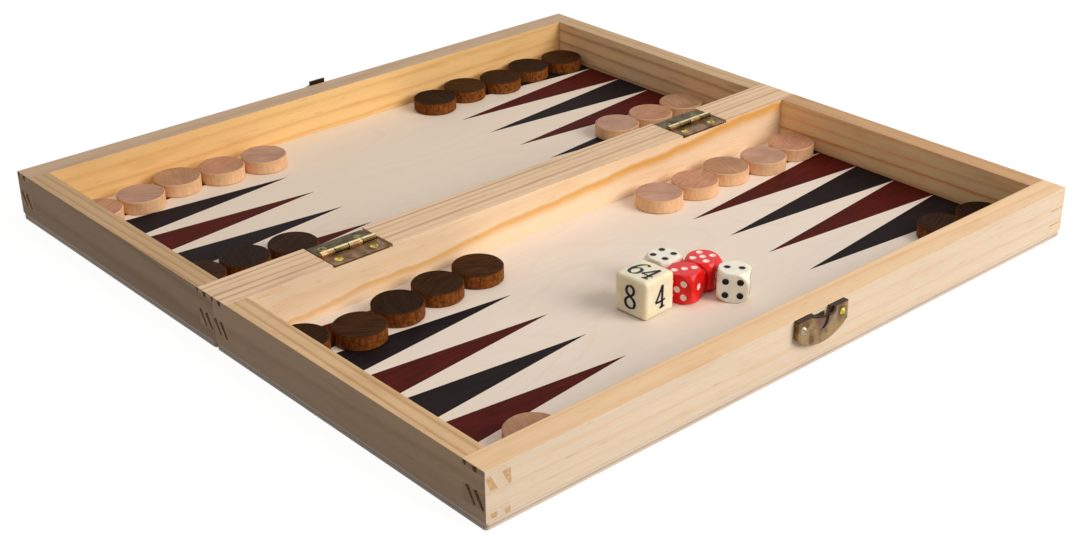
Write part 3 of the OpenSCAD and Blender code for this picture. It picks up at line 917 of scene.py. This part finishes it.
def face_spots(node, turn, edge):
    """Local frames on the six faces of a turned cube: top, bottom, front, back, right, left."""
    low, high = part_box(node)
    middle = (low + high) / 2
    x = Vector((math.cos(turn), math.sin(turn), 0))
    y = Vector((-math.sin(turn), math.cos(turn), 0))
    z = Vector((0, 0, 1))
    axes = [(x, y), (x, -y), (x, z), (x, -z), (-z, y), (z, y)]
    return [Spot(middle + r.cross(u) * edge / 2, r, u) for r, u in axes]


print("cube faces ready")

# %% Paint in a pip


def pip_bowl(parts, spot, u, v):
    """Paint in one round dimple: a thin closed bowl whose underside follows the dimple's floor."""
    ball = (PIP_RADIUS ** 2 + PIP_DEPTH ** 2) / (2 * PIP_DEPTH)
    above = ball - PIP_DEPTH
    points = []
    for radius in (ball, ball - PAINT_DEPTH):
        points.append(spot.at(u, v, above - radius))
        widest = math.acos(above / radius)
        for ring in range(1, PIP_RINGS + 1):
            tilt = widest * ring / PIP_RINGS
            for side in range(PIP_SIDES):
                angle = 2 * math.pi * side / PIP_SIDES
                reach = radius * math.sin(tilt)
                points.append(spot.at(u + reach * math.cos(angle), v + reach * math.sin(angle),
                                      above - radius * math.cos(tilt)))
    faces = []
    shell = 1 + PIP_RINGS * PIP_SIDES
    for start in (0, shell):
        faces.extend((start, start + 1 + k, start + 1 + (k + 1) % PIP_SIDES) for k in range(PIP_SIDES))
        for ring in range(PIP_RINGS - 1):
            inner = start + 1 + ring * PIP_SIDES
            faces.extend(between_rings(inner, inner + PIP_SIDES, PIP_SIDES))
    rim = 1 + (PIP_RINGS - 1) * PIP_SIDES
    faces.extend(between_rings(rim, shell + rim, PIP_SIDES))
    parts.add(points, faces)


def paint_finish(name, colour, worn, seed):
    """Enamel that has worn a little in patches."""
    finish, recipe = new_finish(name)
    patch = recipe.noise(recipe.place_mm(), size=0.8, detail=2, seed=seed)
    recipe.surface({
        "Base Color": recipe.mix(patch.rising(0.45, 0.8), paint(colour), paint(worn)),
        "Roughness": 0.25 + 0.2 * patch,
        "Specular IOR Level": 0.25,
    })
    return finish


black_paint = paint_finish("black_paint", "#070606", "#15110e", seed=1.0)
white_paint = paint_finish("white_paint", "#fbe9e4", "#f3cfc8", seed=2.0)
print("paint ready")

# %% Paint the dice


def pips(node, turn, shown, finish, slot):
    """Paints all pips of a die.

    shown are the numbers on top, in front and on the right, and opposite faces add up to seven.
    """
    counts = [number for one in shown for number in (one, 7 - one)]
    parts = ThinParts()
    for spot, count in zip(face_spots(node, math.radians(turn), DIE_EDGE), counts):
        for u, v in PIPS[count]:
            pip_bowl(parts, spot, u * PIP_STEP, v * PIP_STEP)
    made = parts.piece(node + "_pips", node, finish, slot)
    made.data.shade_smooth()


# Turns on the board, in degrees: the red pair stands parallel, and the others turn against it
QUARTER_TURN = 90
PAIR_TURN = 17.5
BACK_DIE_TURN = PAIR_TURN - 9
FRONT_DIE_TURN = PAIR_TURN + 20.7 - QUARTER_TURN
CUBE_TURN = PAIR_TURN - 14
pips("ivory_die_1", BACK_DIE_TURN, (4, 2, 1), black_paint, "ivory_plastic")
pips("ivory_die_2", FRONT_DIE_TURN, (2, 4, 6), black_paint, "ivory_plastic")
pips("red_die_1", PAIR_TURN, (3, 1, 2), white_paint, "red_plastic")
pips("red_die_2", PAIR_TURN, (5, 1, 4), white_paint, "red_plastic")

# %% [markdown]
# ## Numerals
# The cube's numerals look written with a broad pen: strokes along the pen's edge are thin, and
# strokes across it are thick. So each numeral is a few lines through given points, and the width
# follows from the direction of the line. That takes far fewer points than drawing outlines.

# %% Numerals of the doubling cube
PEN_ANGLE = math.radians(20)
PEN_THIN = 0.07
PEN_THICK = 0.15
STEPS_PER_POINT = 8
# Each line is given by points, as shares of a numeral's height, right and up
NUMERALS = {
    "1": [
        [(0.10, 0.80), (0.19, 0.88), (0.29, 1.0)],
        [(0.28, 0.99), (0.28, 0.5), (0.28, 0.0)],
        [(0.10, 0.02), (0.28, 0.0), (0.47, 0.02)],
    ],
    "2": [
        [(0.06, 0.76), (0.12, 0.93), (0.29, 1.0), (0.46, 0.92), (0.50, 0.74), (0.38, 0.48), (0.20, 0.24),
         (0.03, 0.04)],
        [(0.03, 0.05), (0.18, 0.08), (0.36, 0.03), (0.52, 0.05), (0.58, 0.17)],
    ],
    "3": [
        [(0.07, 0.83), (0.15, 0.96), (0.29, 1.0), (0.44, 0.92), (0.45, 0.74), (0.35, 0.62), (0.22, 0.56)],
        [(0.22, 0.56), (0.40, 0.54), (0.53, 0.40), (0.52, 0.17), (0.36, 0.02), (0.18, 0.0), (0.04, 0.11)],
    ],
    "4": [
        [(0.43, 0.99), (0.30, 0.74), (0.16, 0.48), (0.02, 0.30)],
        [(0.02, 0.29), (0.30, 0.28), (0.60, 0.31)],
        [(0.43, 0.98), (0.42, 0.5), (0.41, 0.0)],
        [(0.26, 0.01), (0.41, 0.0), (0.57, 0.03)],
    ],
    "6": [
        [(0.52, 0.90), (0.44, 0.98), (0.30, 0.96), (0.15, 0.79), (0.06, 0.52), (0.06, 0.26), (0.15, 0.06),
         (0.30, 0.0), (0.46, 0.07), (0.54, 0.27), (0.49, 0.47), (0.35, 0.57), (0.20, 0.51), (0.09, 0.36)],
    ],
    "8": [
        [(0.30, 0.53), (0.15, 0.63), (0.10, 0.78), (0.17, 0.94), (0.31, 1.0), (0.45, 0.93), (0.50, 0.79),
         (0.44, 0.64), (0.30, 0.53), (0.12, 0.40), (0.05, 0.23), (0.12, 0.06), (0.30, 0.0), (0.48, 0.06),
         (0.55, 0.23), (0.48, 0.40), (0.30, 0.53)],
    ],
}
NUMERAL_WIDTH = 0.6
NUMERAL_PITCH = 0.64
print("numerals:", *NUMERALS)

# %% Pen strokes


def smooth_line(points):
    """A line through all points that bends evenly."""
    ends = [points[0], *points, points[-1]]
    line = []
    for i in range(1, len(ends) - 2):
        p0, p1, p2, p3 = (Vector(p) for p in ends[i - 1:i + 3])
        for step in range(STEPS_PER_POINT):
            t = step / STEPS_PER_POINT
            line.append(0.5 * (2 * p1 + (p2 - p0) * t + (2 * p0 - 5 * p1 + 4 * p2 - p3) * t ** 2
                               + (3 * p1 - p0 - 3 * p2 + p3) * t ** 3))
    return [*line, Vector(points[-1])]


def pen_widths(line):
    """The width of a stroke at each point of its line, as a share of a numeral's height."""
    widths = []
    for i in range(len(line)):
        slope = line[min(i + 1, len(line) - 1)] - line[max(i - 1, 0)]
        across = abs(math.sin(math.atan2(slope.y, slope.x) - PEN_ANGLE))
        widths.append(PEN_THIN + (PEN_THICK - PEN_THIN) * across)
    return widths


def write(parts, spot, text, height):
    """Writes a number in the middle of a face."""
    total = NUMERAL_PITCH * (len(text) - 1) + NUMERAL_WIDTH
    for place, numeral in enumerate(text):
        start = (place * NUMERAL_PITCH - total / 2) * height
        for points in NUMERALS[numeral]:
            line = smooth_line(points)
            middle = [(start + p.x * height, (p.y - 0.5) * height) for p in line]
            parts.ribbon(spot, middle, [w * height for w in pen_widths(line)])


print("pen from", PEN_THIN, "to", PEN_THICK, "of a numeral's height")

# %% Number the cube
# Heights of the numerals where one stands alone and where two stand side by side
ONE_NUMERAL = 9.0 * MM
TWO_NUMERALS = 8.8 * MM
# On top, below, in front, behind, on the right and on the left
CUBE_NUMBERS = ["64", "2", "4", "32", "16", "8"]
CUBE_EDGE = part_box("doubling_cube")[1].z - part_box("doubling_cube")[0].z
cube_angle = math.radians(CUBE_TURN)
numerals = ThinParts()
spots = face_spots("doubling_cube", cube_angle, CUBE_EDGE)
upright = [Spot(s.origin, Vector((0, 0, 1)).cross(s.out), (0, 0, 1)) for s in spots[2:]]
cube_x = Vector((math.cos(cube_angle), math.sin(cube_angle), 0))
level = [Spot(s.origin, cube_x.cross(s.out), cube_x) for s in spots[:2]]
for spot, text in zip([*level, *upright], CUBE_NUMBERS):
    write(numerals, spot, text, ONE_NUMERAL if len(text) == 1 else TWO_NUMERALS)
numerals.piece("doubling_cube_numerals", "doubling_cube", black_paint, "cream_plastic")

# %% [markdown]
# ## Brass and steel
# The hinges are thin pressed brass. Their front leaves have gone copper brown and their back leaves
# olive. The tops of the knuckles are rubbed pale and carry a thin painted highlight. The screws are
# brighter, and the left ones of the catch are steel. The catch has an antique finish with a purplish
# brown dome, and its upper edge is painted dark as shade.

# %% Metal


def worn_metal(name, colour, dark, rough, patch_size, seed, metallic=1.0, layers=()):
    """Metal with darker, duller patches.

    Each layer is a colour on one part, a direction (0 along the fold, 1 out from the fold, 2 up) and the
    two distances in millimetres between which it fades in. Some layers give the metal's own colour,
    and others are a painted highlight and painted shade.
    """
    finish, recipe = new_finish(name)
    spot = recipe.place_mm()
    x, y, z = recipe.parts(spot)
    ways = [x, abs(y), z]
    patch = recipe.noise(spot, size=patch_size, detail=3, seed=seed)
    brushed = recipe.noise(spot, size=0.25, detail=2, seed=seed + 1)
    tarnish = patch.rising(0.35, 0.7)
    base = recipe.mix(tarnish, paint(colour), paint(dark))
    for tint, way, start, full in layers:
        base = recipe.mix(ways[way].rising(start, full), base, paint(tint))
    recipe.surface({
        "Base Color": base,
        "Metallic": metallic,
        "Roughness": rough + 0.15 * tarnish + 0.08 * brushed,
        "Normal": recipe.relief(brushed, 0.01, recipe.soft_edges(0.15)),
    })
    return finish


print("metal ready")

# %% Dress the hinges and the catch
knuckle_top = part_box("left_hinge_front_leaf")[1].z / MM
dome_reach = -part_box("catch_plate")[0].y / MM
plate_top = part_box("catch_plate")[1].z / MM
# The pale tops of the knuckles: a painted highlight on brass rubbed pale there
knuckle_highlight = ("#d8c9a0", 2, knuckle_top - 0.32, knuckle_top - 0.06)
# The dark upper edge of the catch plate: painted shade along its lip
lip_shadow = ("#3a220b", 2, plate_top - 0.6, plate_top - 0.2)
dome_tint = ("#7f6352", 1, dome_reach - 2.9, dome_reach - 1.4)
steel_left = ("#a8957f", 0, 1, -1)
dress(worn_metal("copper_brown_brass", "#907052", "#584327", rough=0.34, patch_size=4.0, seed=1.0,
                 layers=[knuckle_highlight]), "left_hinge_front_leaf", "right_hinge_front_leaf")
dress(worn_metal("olive_brass", "#5c4f2c", "#3a301b", rough=0.34, patch_size=4.0, seed=2.0,
                 layers=[knuckle_highlight]), "left_hinge_back_leaf", "right_hinge_back_leaf")
dress(worn_metal("pin_brass", "#a89466", "#6e5c3c", rough=0.3, patch_size=3.0, seed=3.0),
      "left_hinge_pin", "right_hinge_pin")
dress(worn_metal("bright_screw_brass", "#e0c65c", "#6f5c24", rough=0.2, patch_size=1.2, seed=4.0),
      "hinge_front_screws")
dress(worn_metal("dull_screw_brass", "#8f8350", "#4c4528", rough=0.3, patch_size=1.2, seed=4.5),
      "hinge_back_screws")
dress(worn_metal("catch_screw_brass", "#c6b05c", "#6f5c2c", rough=0.22, patch_size=1.2, seed=7.0,
                 layers=[steel_left]), "catch_screws", "strike_screws")
dress(worn_metal("antique_brass", "#a6885b", "#62492d", rough=0.32, patch_size=5.0, seed=5.0,
                 metallic=0.8, layers=[dome_tint, lip_shadow]), "catch_plate", "strike_plate")
dress(worn_metal("spring_steel", "#b8b8b4", "#85857f", rough=0.3, patch_size=4.0, seed=6.0),
      "catch_spring")
print("metal dressed")
